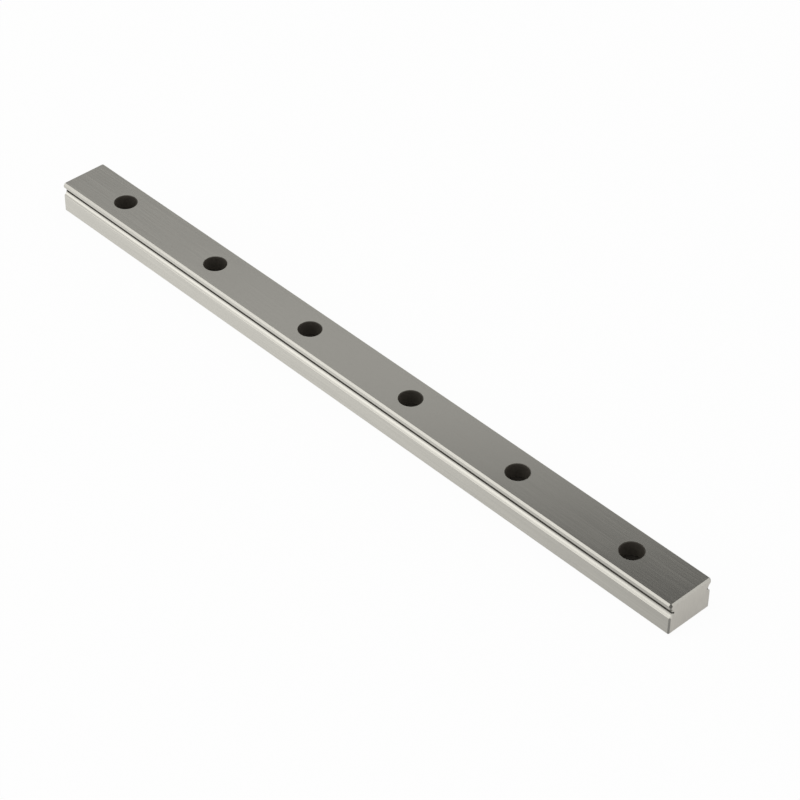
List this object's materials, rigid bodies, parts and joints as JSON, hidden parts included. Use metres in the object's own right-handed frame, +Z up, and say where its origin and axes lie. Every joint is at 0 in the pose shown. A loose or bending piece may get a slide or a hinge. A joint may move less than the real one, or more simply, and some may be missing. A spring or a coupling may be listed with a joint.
{
  "type": "linear guide rail",
  "caption": "Straight ground steel rail with a ball groove along each flank and a row of counterbored screw holes, for a linear guide carriage.",
  "frame": {"origin": "middle of the base face, on the floor", "axes": "+X along the rail, +Z up out of the top face, +Y across the rail"},
  "size_m": [0.24, 0.015, 0.01],
  "materials": {
    "ground_steel": "fine ground, satin"
  },
  "bodies": {
    "root": {"guide_rail": "ground_steel"}
  },
  "joints": []
}
